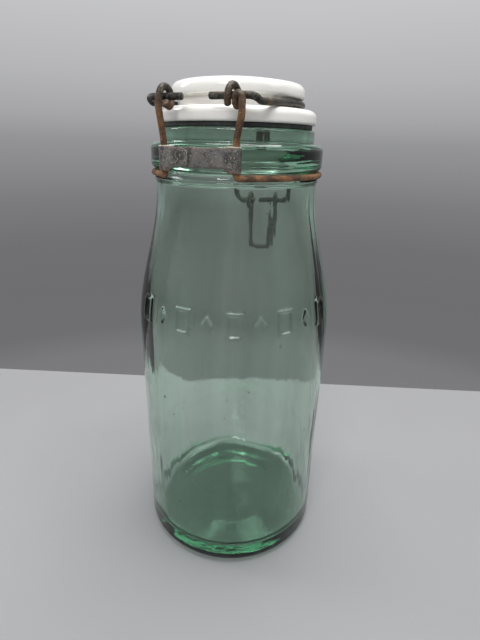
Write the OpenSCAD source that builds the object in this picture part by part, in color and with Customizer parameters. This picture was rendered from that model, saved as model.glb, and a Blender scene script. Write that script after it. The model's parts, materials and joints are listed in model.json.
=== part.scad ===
// Lidded glass canister: a tall wire-bail preserving jar with a white lid.
// Origin: centre of the base, on the surface it stands on. +Z is up,
// the lid hinges over +Y and the latch hangs at -Y. Millimetres.

/* [Glass jar] */
// Outer diameter of the straight part of the body
body_d = 104; // [90:1:120]
// Height of the jar from the base to the sealing face
jar_h = 229.5; // [180:0.5:300]
// Length of the shoulder, from the straight body up to the neck
shoulder_len = 75; // [50:1:100]
// Outer diameter of the neck under the bead
neck_d = 79; // [70:0.5:84]
// Wall of the body
wall = 3.2; // [2.5:0.1:5]
// Wall of the neck under the bead
neck_wall = 3.6; // [3:0.1:6]
// Thickness of the glass at the base
base_t = 8; // [5:0.5:12]
// Radius of the outer heel
heel_r = 6; // [3:0.5:10]
// Radius between the inner floor and the inner wall
floor_r = 8; // [3:0.5:10]
// Width of the flat ring that the jar stands on
foot_w = 5; // [3:0.5:8]
// Height of the hollow under the base
push_up = 3; // [0.5:0.5:4]
// Height of the bead round the neck
bead_h = 11.8; // [8:0.2:16]
// How far the bead stands out from the neck
bead_out = 1.9; // [1:0.1:4]
// Height of the plain rim above the bead
rim_h = 5.8; // [3:0.2:10]
// How far the plain rim stands back from the neck, on the radius
rim_in = 2.6; // [1:0.1:5]
// Width of the sealing face on top of the rim
seal_w = 6.3; // [5:0.1:8]

/* [Lid] */
// How far the lower step stands out past the jar's rim
lid_over = 0.2; // [0:0.1:3]
// Height of the lower step
lid_low_h = 6.5; // [4:0.5:9]
// Width of the lower step outside the upper one
lid_step = 6; // [4:0.1:8]
// Height of the upper step at its edge
lid_top_h = 6.6; // [4:0.2:9]
// Rise of the dome over the upper step
dome_h = 1; // [0.4:0.1:3]
// Depth of the plug that locates in the mouth
plug_h = 3.5; // [2:0.5:5]
// Play of the plug in the mouth, on the radius
plug_gap = 2.9; // [2.4:0.1:4]
// Thickness of the sealing ring
gasket_t = 2; // [1.5:0.1:4]
// Radial width of the sealing ring
gasket_w = 4.6; // [3:0.1:5]

/* [Wires] */
// Diameter of the lid wire and of the collar wire
wire_d = 2.8; // [2:0.1:3.2]
// Diameter of the latch wire
latch_d = 2.8; // [2:0.1:3.2]
// Play of a pin or a wire in its eye, on the radius
eye_gap = 0.5; // [0.3:0.05:1]
// Play between a wire and the groove it lies in
groove_gap = 0.35; // [0.2:0.05:1]

/* [Hinge] */
// How far the hinge pins stand out past the lower step of the lid
hinge_out = 3.4; // [3:0.1:7]
// Mean radius of a hinge eye
hinge_eye_r = 3.6; // [3.4:0.1:4.6]
// Distance from one upright to the other at the plate
upright_span = 32.4; // [28:0.2:36]
// How far the left upright leans out at its top
lean_left = 0.2; // [0:0.1:4]
// How far the right upright leans out at its top
lean_right = 3.3; // [0:0.1:4]
// How far the lid wire dips between its groove and the hinge
wire_dip = 1.7; // [0:0.1:2]
// How far the left pin reaches past its eye
pin_past_left = 5.75; // [3:0.05:8]
// How far the right pin reaches past its eye
pin_past_right = 8.35; // [3:0.05:9]
// Thickness of the plate's sheet
sheet_t = 0.8; // [0.5:0.1:1]
// Height of the plate's rolled barrels
barrel_h = 10.4; // [8:0.1:14]
// Gap between the plate and the bead
plate_gap = 0.5; // [0.3:0.1:1.5]
// How much shorter the plate is between its barrels
plate_cut = 1.8; // [0.5:0.1:4]
// Length of the lap over the front of the plate
lap_len = 12; // [4:0.5:20]

/* [Latch] */
// Distance from one latch pivot to the other, across the jar
pivot_span = 39; // [34:0.2:42]
// Gap between the latch arms' eyes and the bead
pivot_clear = 1.1; // [0.6:0.1:4]
// Gap between the finger bail's eyes and the glass
pin_clear = 0.5; // [0.3:0.1:3]
// Length of the latch arms, from pivot to pin
arm_len = 17; // [15:0.1:24]
// Distance from one eye of the finger bail to the other
bail_span = 16; // [14:0.2:18]
// Length of the finger bail from pin to closed end
bail_len = 29.5; // [24:0.5:34]
// Play of the lid wire's nose in the finger bail, on each side
nose_play = 0.5; // [0.2:0.05:1]
// Gap between the hanging finger bail and the shoulder of the jar
bail_clear = 0.93; // [0.5:0.01:4]
// Gap between the inner ends of the arms' pins
pin_gap = 3.8; // [2:0.1:8]
// How far that gap sits off the middle
pin_shift = 2.8; // [-3:0.1:3]
// Width of the nose of the lid wire, between wire centres
nose_w = 5.2; // [4:0.1:6]

/* [Hidden] */
$fn = 96;
// Facets round a bent wire
sides = 10;
// Steps along a bend, and along a quarter of an eye
bend_n = 4;
eye_n = 5;

wire_r = wire_d / 2;
latch_r = latch_d / 2;

// Heights up the jar
bead_top_z = jar_h - rim_h;
bead_z = bead_top_z - bead_h;
groove_h = wire_d + 2 * groove_gap;
groove_z = bead_z - groove_h;
collar_z = groove_z + groove_h / 2;
ridge_h = 1.6;
neck_z = groove_z - ridge_h;
shoulder_z = neck_z - shoulder_len;

// Radii of the jar
body_r = body_d / 2;
neck_r = neck_d / 2;
bead_r = neck_r + bead_out;
ridge_out = 0.8;
groove_r = neck_r - 1;
rim_r = neck_r - rim_in;
mouth_r = rim_r - seal_w;
throat_r = neck_r - neck_wall;
collar_r = groove_r + wire_r + groove_gap;
foot_r = body_r - heel_r;

// Heights up the lid
lid_z = jar_h + gasket_t;
lid_groove_z = lid_z + lid_low_h;
lid_wire_z = lid_groove_z + groove_h / 2 + 0.3;
lid_top_z = lid_groove_z + groove_h + 0.6;
lid_edge_z = lid_top_z + lid_top_h;
lid_r = rim_r + lid_over;
lid_top_r = lid_r - lid_step;
lid_wire_r = lid_top_r - 1.1;
lid_groove_r = lid_wire_r - wire_r - groove_gap;
plug_r = mouth_r - plug_gap;
gasket_in_r = mouth_r + 0.4;

// The hinge
hinge_y = lid_r + hinge_out;
hinge_z = lid_wire_z;
upright_x = upright_span / 2;
barrel_gap = 0.1;
barrel_r = wire_r + barrel_gap + sheet_t / 2;
// The flat of the plate lies just behind the lap and just clear of the bead
plate_y = bead_r + plate_gap + sheet_t / 2;
upright_y = plate_y - barrel_r + sheet_t + 0.05;
lap_short = 2;
// Each turn of a hinge eye passes clear beside the one before
eye_pitch = wire_d + 0.3;
// The left eye leaves its upright upward and is not quite a whole turn
left_x = upright_x + lean_left;
left_eye_end = 322;
left_eye_x = left_x - eye_pitch;
// The right eye doubles back over the upright's top and winds downward, a little over one turn
right_x = upright_x + lean_right;
double_back = wire_d + 0.2;
right_eye_start = -18;
right_eye_end = -415;
right_eye_x = right_x - double_back - eye_pitch * (right_eye_start - right_eye_end) / 360;
// The lid wire's arms pass outside the wider upright
lid_corner_x = max(left_x, right_x) + wire_d + 0.7;
collar_bend = 1.6;
barrel_z = collar_z + collar_bend + 0.2;

// The latch: pivots on the collar wire, pins at the foot of the arms
pivot_x = pivot_span / 2;
pivot_eye_r = wire_r + eye_gap + latch_r;
pivot_y = -(sqrt(bead_r * bead_r - pow(pivot_x - latch_r, 2)) + pivot_eye_r + latch_r + pivot_clear);
pin_z = collar_z - arm_len;
pin_eye_r = latch_r + eye_gap + latch_r;
pin_y = -(shoulder(pin_z - pin_eye_r, body_r, neck_r) + pin_eye_r + latch_r + pin_clear);
kink_half = wire_r + latch_r + 1.7;
arm_foot_x = pivot_x - 1.5;
// The nose fits between the bail's legs, and the bail hangs clear of the shoulder
bail_end_x = (nose_w + wire_d + latch_d) / 2 + nose_play;
bail_end_z = pin_z - bail_len;
bail_end_y = -max(-pin_y + pin_eye_r, shoulder(bail_end_z - latch_r, body_r, neck_r) + latch_r + bail_clear);
nose_y = -(max(bead_r, lid_r) + wire_r + 0.6);
hook_r = 3.4;
hook_z = pin_z + bail_len + hook_r - wire_r - latch_r;
hook_rise = 3.5;

// ---------- curves ----------

function unit(v) = v / norm(v);

// Outer radius of the jar at height z on the shoulder
function shoulder(z, r0, r1) =
    let (t = min(1, max(0, (z - shoulder_z) / shoulder_len)))
    r0 + (r1 - r0) * (1 - cos(180 * t)) / 2;

// Arc in a plane, from angle a0 to a1
function arc2(x, y, r, a0, a1, n) =
    [for (i = [0:n]) let (a = a0 + (a1 - a0) * i / n) [x + r * cos(a), y + r * sin(a)]];

// Part of a level circle about the jar's axis
function ring(r, z, a0, a1, n) =
    [for (i = [0:n]) let (a = a0 + (a1 - a0) * i / n) [r * cos(a), r * sin(a), z]];

// Part of a coil about an axis along X; angles run from +Y towards +Z
function coil(c, r, x0, x1, a0, a1, n) =
    [for (i = [0:n]) let (t = i / n, a = a0 + (a1 - a0) * t)
        [x0 + (x1 - x0) * t, c[0] + r * cos(a), c[1] + r * sin(a)]];

// One corner of a path, rounded to radius r
function corner(a, p, b, r) =
    let (u = unit(a - p), v = unit(b - p), half = acos(max(-1, min(1, u * v))) / 2)
    r == 0 || half > 89 ? [p] :
    let (t = r / tan(half), c = p + unit(u + v) * r / sin(half),
         e = unit(p + u * t - c), f = unit(p + v * t - c),
         w = unit(f - (f * e) * e), turn = 180 - 2 * half)
    [for (i = [0:bend_n]) let (q = turn * i / bend_n) c + r * (cos(q) * e + sin(q) * w)];

// A path through points p with the corners rounded to radii r
function bent(p, r) =
    [for (i = [0:len(p) - 1])
        each (i == 0 || i == len(p) - 1 ? [p[i]] : corner(p[i - 1], p[i], p[i + 1], r[i]))];

// The same path on the other side of the jar, run backwards
function other_side(p) =
    [for (i = [len(p) - 1:-1:0]) [-p[i][0], p[i][1], p[i][2]]];

function tangent(p, i) = unit(p[min(i + 1, len(p) - 1)] - p[max(i - 1, 0)]);
function first_side(t) = unit(cross(t, abs(t[2]) < 0.8 ? [0, 0, 1] : [1, 0, 0]));

// Cross-section axes carried along a path without twist
function frames(p, i = 0, last = undef) =
    let (t = tangent(p, i),
         s = last == undef ? first_side(t) : unit(last - (last * t) * t))
    i == len(p) - 1 ? [[s, cross(t, s)]] : concat([[s, cross(t, s)]], frames(p, i + 1, s));

// A round wire of radius r along a path
module wire(p, r) {
    f = frames(p);
    n = len(p);
    points = [for (i = [0:n - 1]) for (k = [0:sides - 1])
        p[i] + r * (cos(360 * k / sides) * f[i][0] + sin(360 * k / sides) * f[i][1])];
    faces = concat(
        [[for (k = [0:sides - 1]) k]],
        [for (i = [0:n - 2]) for (k = [0:sides - 1])
            [i * sides + k, (i + 1) * sides + k,
             (i + 1) * sides + (k + 1) % sides, i * sides + (k + 1) % sides]],
        [[for (k = [sides - 1:-1:0]) (n - 1) * sides + k]]);
    polyhedron(points = points, faces = faces);
}

// ---------- glass ----------

// Height of the glass over the floor where the inner wall begins
inner_body_r = body_r - wall;

function jar_outside() = concat(
    [[0, push_up], [foot_r * 0.55, push_up * 0.8], [foot_r - foot_w, 0], [foot_r, 0]],
    arc2(foot_r, heel_r, heel_r, -75, 0, 5),
    [for (i = [0:15]) let (z = shoulder_z + shoulder_len * i / 15)
        [shoulder(z, body_r, neck_r), z]],
    [[neck_r + ridge_out, neck_z + ridge_h * 0.35], [neck_r + ridge_out, groove_z - ridge_h * 0.2],
     [groove_r, groove_z], [groove_r, bead_z]],
    arc2(bead_r - 2.4, bead_z + 2.4, 2.4, -80, 0, 4),
    arc2(bead_r - 3, bead_top_z - 3, 3, 0, 80, 4),
    [[rim_r, bead_top_z]],
    arc2(rim_r - 1.2, jar_h - 1.2, 1.2, 0, 90, 3));

function jar_inside() = concat(
    arc2(mouth_r + 1, jar_h - 1, 1, 90, 180, 3),
    [[mouth_r, bead_top_z - 1], [throat_r, bead_z]],
    [for (i = [15:-1:0]) let (z = shoulder_z + shoulder_len * i / 15)
        [shoulder(z, inner_body_r, throat_r), z]],
    arc2(inner_body_r - floor_r, base_t + floor_r, floor_r, 0, -90, 5),
    [[0, base_t + 0.6]]);

module glass_jar() {
    color("mediumaquamarine")
        rotate_extrude()
            polygon(concat(jar_outside(), jar_inside()));
}

// ---------- lid ----------

module lid() {
    color("white")
        rotate_extrude()
            polygon(concat(
                [[0, lid_z - plug_h]],
                arc2(plug_r - 1, lid_z - plug_h + 1, 1, -90, 0, 3),
                [[plug_r, lid_z]],
                arc2(lid_r - 1, lid_z + 1, 1, -90, 0, 3),
                arc2(lid_r - 2.6, lid_groove_z - 3.1, 2.6, 0, 75, 4),
                [[lid_groove_r, lid_groove_z], [lid_groove_r, lid_top_z]],
                arc2(lid_top_r - 1.4, lid_top_z + 1.4, 1.4, -90, 0, 3),
                arc2(lid_top_r - 4, lid_edge_z - 4, 4, 0, 80, 6),
                [for (t = [0.75, 0.5, 0.25, 0])
                    [(lid_top_r - 4) * t, lid_edge_z + dome_h * (1 - t * t)]]));
}

module sealing_ring() {
    color("darkslategray")
        rotate_extrude()
            translate([gasket_in_r, jar_h])
                square([gasket_w, gasket_t]);
}

// ---------- lid wire: hinge pins, a ring in the lid's groove and a nose ----------

// Angle on the groove's circle where a straight run from the corner touches it
corner_reach = sqrt(lid_corner_x * lid_corner_x + hinge_y * hinge_y);
lid_run_a = atan2(hinge_y, lid_corner_x) - acos(lid_wire_r / corner_reach);
nose_x = nose_w / 2;
nose_a = asin(nose_x / lid_wire_r);
pin_in = 2;

// From the middle of the nose round to one end of the wire
function lid_wire_half(tip_x) = concat(
    bent([[0, nose_y - 2 * hook_r, hook_z + hook_rise + nose_x],
          [nose_x, nose_y - 2 * hook_r, hook_z + hook_rise + nose_x],
          [nose_x, nose_y - 2 * hook_r, hook_z - hook_r],
          [nose_x, nose_y, hook_z - hook_r],
          [nose_x, nose_y, lid_wire_z],
          [nose_x, -lid_wire_r * cos(nose_a), lid_wire_z],
          [lid_wire_r * cos(-72), lid_wire_r * sin(-72), lid_wire_z]],
         [0, nose_x - 0.05, hook_r - 0.05, hook_r - 0.05, 3, 3, 0]),
    ring(lid_wire_r, lid_wire_z, -64, lid_run_a - 8, 14),
    bent([[lid_wire_r * cos(lid_run_a), lid_wire_r * sin(lid_run_a), lid_wire_z],
          [lid_corner_x + 0.9, hinge_y - 4.5, hinge_z - wire_dip],
          [lid_corner_x, hinge_y, hinge_z], [tip_x + pin_in, hinge_y, hinge_z]],
         [0, 5, 3, 0]));

module lid_wire() {
    tip_left = left_eye_x - pin_past_left;
    tip_right = right_eye_x - pin_past_right;
    color("dimgray") {
        wire(concat(other_side(lid_wire_half(tip_right)),
                    [for (i = [1:len(lid_wire_half(tip_left)) - 1]) lid_wire_half(tip_left)[i]]),
             wire_r);
        // The straight pins that turn in the hinge eyes
        for (s = [[1, tip_left], [-1, tip_right]])
            translate([s[0] * s[1], hinge_y, hinge_z])
                rotate([0, s[0] * 90, 0])
                    cylinder(r = wire_r, h = lid_corner_x - 3.6 - s[1]);
    }
}

// ---------- collar wire: round the neck, up through the plate, into the eyes ----------

upright_reach = sqrt(upright_x * upright_x + upright_y * upright_y);
collar_run_a = atan2(upright_y, upright_x) - acos(collar_r / upright_reach);
eye_front_y = hinge_y + hinge_eye_r;
kink_out_x = pivot_x + kink_half;
kink_in_x = pivot_x - kink_half;
kink_foot_out = kink_out_x + 1.6;
kink_foot_in = kink_in_x - 1;
kink_out_a = -acos(kink_foot_out / collar_r);
kink_in_a = -acos(kink_foot_in / collar_r);

// From the middle of the latch side to the foot of one upright
function collar_run() = concat(
    ring(collar_r, collar_z, -90, kink_in_a - 6, 2),
    bent([[collar_r * cos(kink_in_a - 6), collar_r * sin(kink_in_a - 6), collar_z],
          [kink_foot_in, collar_r * sin(kink_in_a), collar_z],
          [kink_in_x, pivot_y, collar_z], [kink_out_x, pivot_y, collar_z],
          [kink_foot_out, collar_r * sin(kink_out_a), collar_z],
          [collar_r * cos(kink_out_a + 8), collar_r * sin(kink_out_a + 8), collar_z]],
         [0, 1.5, 2, 2, 2, 0]),
    ring(collar_r, collar_z, kink_out_a + 14, collar_run_a, 12));

// One upright, then on through points p with bends r
function upright(p, r) =
    bent(concat([[collar_r * cos(collar_run_a), collar_r * sin(collar_run_a), collar_z],
                 [upright_x, upright_y, collar_z], [upright_x, upright_y, barrel_z + barrel_h + 2]], p),
         concat([0, collar_bend, 8], r));

function collar_left() = concat(
    collar_run(),
    upright([[left_x, eye_front_y, hinge_z - hinge_eye_r * 0.9],
             [left_x - 0.8, eye_front_y, hinge_z + hinge_eye_r * 0.2]], [4, 0]),
    coil([hinge_y, hinge_z], hinge_eye_r, left_x - 0.9, left_eye_x, 28, left_eye_end, 18));

function collar_right() =
    let (x = right_x - double_back, low = hinge_z + hinge_eye_r * sin(right_eye_start),
         top = low + double_back / 2 + 0.05, bend = double_back / 2 - 0.05)
    concat(
        collar_run(),
        upright([[right_x, eye_front_y, hinge_z - 6.5], [right_x, eye_front_y, top],
                 [x, eye_front_y, top], [x, eye_front_y - 0.1, low]], [6, bend, bend, 0]),
        coil([hinge_y, hinge_z], hinge_eye_r, x, right_eye_x, right_eye_start - 12, right_eye_end, 24));

module collar_wire() {
    left = collar_left();
    color("sienna")
        wire(concat(other_side(collar_right()), [for (i = [1:len(left) - 1]) left[i]]), wire_r);
}

// ---------- hinge plate: one strip of sheet, rolled round both uprights ----------

// Middle line of one half of the strip, from its middle to the end of its lap
function sheet_half(lap) = concat(
    bent([[0, plate_y], [upright_x - barrel_r, plate_y], [upright_x - barrel_r, upright_y]],
         [0, sheet_t, 0]),
    [for (i = [1:13]) let (a = 180 + 270 * i / 13)
        [upright_x + barrel_r * cos(a), upright_y + barrel_r * sin(a)]],
    [[upright_x - lap, upright_y + barrel_r]]);

// The whole strip: a short lap at one end and a long one at the other
function sheet_line() =
    let (a = sheet_half(lap_short), b = sheet_half(lap_len))
    concat([for (i = [len(a) - 1:-1:1]) [-a[i][0], a[i][1]]], [for (i = [1:len(b) - 1]) b[i]]);

function sheet_normal(p, i) =
    let (d = p[min(i + 1, len(p) - 1)] - p[max(i - 1, 0)]) unit([-d[1], d[0]]);

function sheet_outline(p) = concat(
    [for (i = [0:len(p) - 1]) p[i] + sheet_normal(p, i) * sheet_t / 2],
    [for (i = [len(p) - 1:-1:0]) p[i] - sheet_normal(p, i) * sheet_t / 2]);

module hinge_plate() {
    cut_half = upright_x - barrel_r - sheet_t - wire_r;
    color("slategray")
        difference() {
            translate([0, 0, barrel_z])
                linear_extrude(height = barrel_h)
                    polygon(sheet_outline(sheet_line()));
            translate([-cut_half, upright_y, barrel_z - 1])
                cube([2 * cut_half, 3 * barrel_r, plate_cut + 1]);
        }
}

// ---------- latch ----------

// An eye that closes three quarters of a turn and leaves downward at the back
function eye_path(x, y, z, r) = coil([y, z], r, x, x, -90, 180, 3 * eye_n);

function arm_path(pin_x) = concat(
    eye_path(pivot_x, pivot_y, collar_z, pivot_eye_r),
    bent([[pivot_x, pivot_y - pivot_eye_r, collar_z - 1],
          [pivot_x + 0.3, pivot_y - pivot_eye_r, collar_z - arm_len * 0.4],
          [arm_foot_x, pin_y, pin_z], [pin_x + pin_in, pin_y, pin_z]],
         [0, 6, 5, 0]));

// One arm: an eye on the collar wire, a bent shank and a straight pin that ends at pin_x
module latch_arm(pin_x) {
    wire(arm_path(pin_x), latch_r);
    translate([pin_x, pin_y, pin_z])
        rotate([0, 90, 0])
            cylinder(r = latch_r, h = arm_foot_x - 5 - pin_x);
}

module latch_arm_left() {
    color("dimgray") latch_arm(pin_gap / 2 + pin_shift);
}

module latch_arm_right() {
    color("dimgray") mirror([1, 0, 0]) latch_arm(pin_gap / 2 - pin_shift);
}

function bail_half() = concat(
    eye_path(bail_span / 2, pin_y, pin_z, pin_eye_r),
    bent([[bail_span / 2, pin_y - pin_eye_r, pin_z - 1],
          [bail_end_x, bail_end_y, bail_end_z], [0, bail_end_y, bail_end_z]],
         [0, 3, 0]));

module finger_bail() {
    half = bail_half();
    color("dimgray")
        wire(concat(half, [for (i = [1:len(half) - 1]) other_side(half)[i]]), latch_r);
}

glass_jar();
sealing_ring();
lid();
lid_wire();
collar_wire();
hinge_plate();
latch_arm_left();
latch_arm_right();
finger_bail();
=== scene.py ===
"""Looks for a lidded glass canister: a tall green preserving jar with a wire-bail lid.

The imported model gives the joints, the boxes and the bodies. Every visible piece
is rebuilt here in finer form, in metres and in the same frame: origin at the
centre of the base, +Z up, hinge at +Y, latch at -Y.
"""

from __future__ import annotations

import json
import logging
import math
import random
from dataclasses import dataclass, field
from enum import Enum
from typing import Callable, Iterable, Optional, Sequence

import bmesh
import bpy
from mathutils import Matrix, Vector, noise

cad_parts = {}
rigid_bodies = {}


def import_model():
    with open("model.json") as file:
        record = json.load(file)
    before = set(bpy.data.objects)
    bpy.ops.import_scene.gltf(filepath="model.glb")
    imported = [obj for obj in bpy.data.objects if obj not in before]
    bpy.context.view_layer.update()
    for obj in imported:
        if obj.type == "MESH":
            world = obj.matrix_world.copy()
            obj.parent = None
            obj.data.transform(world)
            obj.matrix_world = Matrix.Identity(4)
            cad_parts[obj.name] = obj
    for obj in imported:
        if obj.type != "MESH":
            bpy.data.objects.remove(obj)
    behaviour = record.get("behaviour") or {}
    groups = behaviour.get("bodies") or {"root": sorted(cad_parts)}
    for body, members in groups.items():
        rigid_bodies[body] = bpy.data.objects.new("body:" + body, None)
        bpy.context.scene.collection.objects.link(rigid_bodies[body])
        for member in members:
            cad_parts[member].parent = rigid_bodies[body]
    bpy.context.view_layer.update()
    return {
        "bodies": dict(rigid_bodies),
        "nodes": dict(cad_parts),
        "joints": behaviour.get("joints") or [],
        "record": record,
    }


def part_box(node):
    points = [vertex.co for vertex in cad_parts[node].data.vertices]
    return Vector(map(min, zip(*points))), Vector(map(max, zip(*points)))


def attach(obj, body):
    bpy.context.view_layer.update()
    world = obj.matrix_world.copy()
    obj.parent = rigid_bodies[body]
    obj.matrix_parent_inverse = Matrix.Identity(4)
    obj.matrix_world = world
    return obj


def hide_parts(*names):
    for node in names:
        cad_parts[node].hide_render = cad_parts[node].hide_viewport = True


MM = 0.001
LOG = logging.getLogger("canister")
Colour = tuple[float, float, float]


# ---------------------------------------------------------------- small maths


def smooth_step(low: float, high: float, value: float) -> float:
    """Rise from 0 at low to 1 at high with soft ends."""
    t = min(1.0, max(0.0, (value - low) / (high - low)))
    return t * t * (3.0 - 2.0 * t)


def arc(cx: float, cz: float, radius: float, start: float, end: float, steps: int) -> list[tuple[float, float]]:
    """Points of an arc in the profile plane.

    Args:
        cx: Centre's distance from the axis.
        cz: Centre's height.
        radius: Radius of the arc.
        start: First angle in degrees, from outward towards up.
        end: Last angle in degrees.
        steps: Number of steps between them.

    Returns:
        The points, in order.
    """
    out = []
    for i in range(steps + 1):
        a = math.radians(start + (end - start) * i / steps)
        out.append((cx + radius * math.cos(a), cz + radius * math.sin(a)))
    return out


def dense(profile: Sequence[tuple[float, float]], step: float) -> list[tuple[float, float]]:
    """Split the long stretches of a profile.

    Args:
        profile: Points as (distance from axis, height).
        step: Longest stretch that may stay.

    Returns:
        The same outline with more points.
    """
    out = [profile[0]]
    for a, b in zip(profile, profile[1:]):
        length = math.dist(a, b)
        if length < 1e-7:
            continue
        parts = max(1, math.ceil(length / step))
        out += [(a[0] + (b[0] - a[0]) * k / parts, a[1] + (b[1] - a[1]) * k / parts) for k in range(1, parts + 1)]
    return out


def level_arc(radius: float, z: float, start: float, end: float, steps: int) -> list[Vector]:
    """Part of a level circle about the jar's axis, angles in degrees from +X."""
    angles = [math.radians(start + (end - start) * i / steps) for i in range(steps + 1)]
    return [Vector((radius * math.cos(a), radius * math.sin(a), z)) for a in angles]


def coil(y: float, z: float, radius: float, x0: float, x1: float, start: float, end: float, steps: int) -> list[Vector]:
    """Part of a coil about an axis along X, angles in degrees from +Y towards +Z."""
    out = []
    for i in range(steps + 1):
        t = i / steps
        a = math.radians(start + (end - start) * t)
        out.append(Vector((x0 + (x1 - x0) * t, y + radius * math.cos(a), z + radius * math.sin(a))))
    return out


def rounded(before: Vector, at: Vector, after: Vector, radius: float, steps: int = 8) -> list[Vector]:
    """Round one corner of a path.

    Args:
        before: The point before the corner.
        at: The corner.
        after: The point after the corner.
        radius: Bend radius; 0 keeps the corner.
        steps: Steps along the bend.

    Returns:
        The points that take the corner's place.
    """
    u, v = (before - at).normalized(), (after - at).normalized()
    half = math.acos(max(-1.0, min(1.0, u.dot(v)))) / 2
    if radius == 0 or half > math.radians(89):
        return [at]
    reach = radius / math.tan(half)
    centre = at + (u + v).normalized() * radius / math.sin(half)
    e = (at + u * reach - centre).normalized()
    f = (at + v * reach - centre).normalized()
    w = (f - e * f.dot(e)).normalized()
    turn = math.pi - 2 * half
    angles = [turn * i / steps for i in range(steps + 1)]
    return [centre + radius * (math.cos(a) * e + math.sin(a) * w) for a in angles]


def bent(corners: Sequence[Vector], radii: Sequence[float]) -> list[Vector]:
    """A path through corners, each rounded to its own bend radius."""
    out = [corners[0]]
    for i in range(1, len(corners) - 1):
        out += rounded(corners[i - 1], corners[i], corners[i + 1], radii[i])
    return out + [corners[-1]]


def other_side(path: Iterable[Vector]) -> list[Vector]:
    """The same path on the other side of the jar, run backwards."""
    return [Vector((-p.x, p.y, p.z)) for p in reversed(list(path))]


def even(path: Sequence[Vector], step: float) -> list[Vector]:
    """Walk a path in equal steps and soften its kinks.

    Args:
        path: The route.
        step: Distance between the new points.

    Returns:
        Evenly spaced points with the same two ends.
    """
    lengths = [0.0]
    for a, b in zip(path, path[1:]):
        lengths.append(lengths[-1] + (b - a).length)
    count = max(8, round(lengths[-1] / step))
    out, k = [], 0
    for i in range(count + 1):
        want = lengths[-1] * i / count
        while k < len(path) - 2 and lengths[k + 1] < want:
            k += 1
        span = lengths[k + 1] - lengths[k]
        t = 0.0 if span < 1e-12 else (want - lengths[k]) / span
        out.append(path[k].lerp(path[k + 1], t))
    for _ in range(2):
        out = [out[0]] + [(out[i - 1] + 2 * out[i] + out[i + 1]) / 4 for i in range(1, len(out) - 1)] + [out[-1]]
    return out


# ---------------------------------------------------------------- mesh making


def new_piece(name: str, verts: Sequence[Vector], faces: Sequence[Sequence[int]]) -> bpy.types.Object:
    """Make a smooth-shaded object from points and faces, with its faces turned outward.

    Args:
        name: The piece's name.
        verts: Its points, in metres.
        faces: Its faces, as indices of points.

    Returns:
        The new object, linked to the scene.
    """
    mesh = bpy.data.meshes.new(name)
    mesh.from_pydata([tuple(v) for v in verts], [], [tuple(f) for f in faces])
    work = bmesh.new()
    work.from_mesh(mesh)
    bmesh.ops.recalc_face_normals(work, faces=work.faces)
    work.to_mesh(mesh)
    work.free()
    mesh.shade_smooth()
    piece = bpy.data.objects.new(name, mesh)
    bpy.context.scene.collection.objects.link(piece)
    return piece


def revolve(
    profile: Sequence[tuple[float, float]],
    columns: int,
    shift: Callable[[float, float, float, int], tuple[float, float]],
) -> tuple[list[Vector], list[list[int]]]:
    """Turn a profile that starts and ends on the axis, or closes on itself, into a solid.

    Args:
        profile: Points as (distance from axis, height).
        columns: Number of steps round the axis.
        shift: Called with angle, distance, height and the point's index; gives the new distance and height.

    Returns:
        The points and the faces.
    """
    verts: list[Vector] = []
    rows: list[list[int]] = []
    for i, (r, z) in enumerate(profile):
        if r < 1e-9:
            rows.append([len(verts)] * columns)
            verts.append(Vector((0.0, 0.0, z)))
            continue
        rows.append(list(range(len(verts), len(verts) + columns)))
        for k in range(columns):
            a = 2 * math.pi * k / columns
            rr, zz = shift(a, r, z, i)
            verts.append(Vector((rr * math.cos(a), rr * math.sin(a), zz)))
    faces: list[list[int]] = []
    closed = profile[0][0] > 1e-9
    pairs = list(zip(rows, rows[1:])) + ([(rows[-1], rows[0])] if closed else [])
    for low, high in pairs:
        for k in range(columns):
            n = (k + 1) % columns
            face = [low[k], low[n], high[n], high[k]]
            unique = list(dict.fromkeys(face))
            if len(unique) > 2:
                faces.append(unique)
    return verts, faces


def sweep(
    path: Sequence[Vector], radius: Callable[[float], float], sides: int = 18
) -> tuple[list[Vector], list[list[int]]]:
    """Run a round section along a path and close it with slightly rounded cut ends.

    Args:
        path: Evenly spaced points.
        radius: Radius at a distance along the path.
        sides: Facets round the section.

    Returns:
        The points and the faces.
    """
    count = len(path)
    tangents = [(path[min(i + 1, count - 1)] - path[max(i - 1, 0)]).normalized() for i in range(count)]
    side = tangents[0].orthogonal().normalized()
    rings: list[tuple[Vector, Vector, Vector, float]] = []
    along = 0.0
    for i in range(count):
        side = (side - tangents[i] * side.dot(tangents[i])).normalized()
        if i:
            along += (path[i] - path[i - 1]).length
        rings.append((path[i], side, tangents[i].cross(side), radius(along)))
    lip = 0.18
    head, tail = rings[0], rings[-1]
    start = (head[0] - tangents[0] * head[3] * lip, head[1], head[2], head[3] * (1 - lip))
    stop = (tail[0] + tangents[-1] * tail[3] * lip, tail[1], tail[2], tail[3] * (1 - lip))
    rings = [start, *rings, stop]
    verts: list[Vector] = []
    for centre, u, v, r in rings:
        angles = [2 * math.pi * k / sides for k in range(sides)]
        verts += [centre + r * (math.cos(a) * u + math.sin(a) * v) for a in angles]
    faces: list[list[int]] = []
    for i in range(len(rings) - 1):
        a, b = i * sides, (i + 1) * sides
        faces += [[a + k, a + (k + 1) % sides, b + (k + 1) % sides, b + k] for k in range(sides)]
    last = (len(rings) - 1) * sides
    faces.append(list(range(sides)))
    faces.append([last + k for k in range(sides)])
    return verts, faces


# ---------------------------------------------------------------- finishes


class Metal(Enum):
    """How much of a wire's surface has gone to rust."""

    RUSTED = "rusted"
    TARNISHED = "tarnished"


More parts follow.
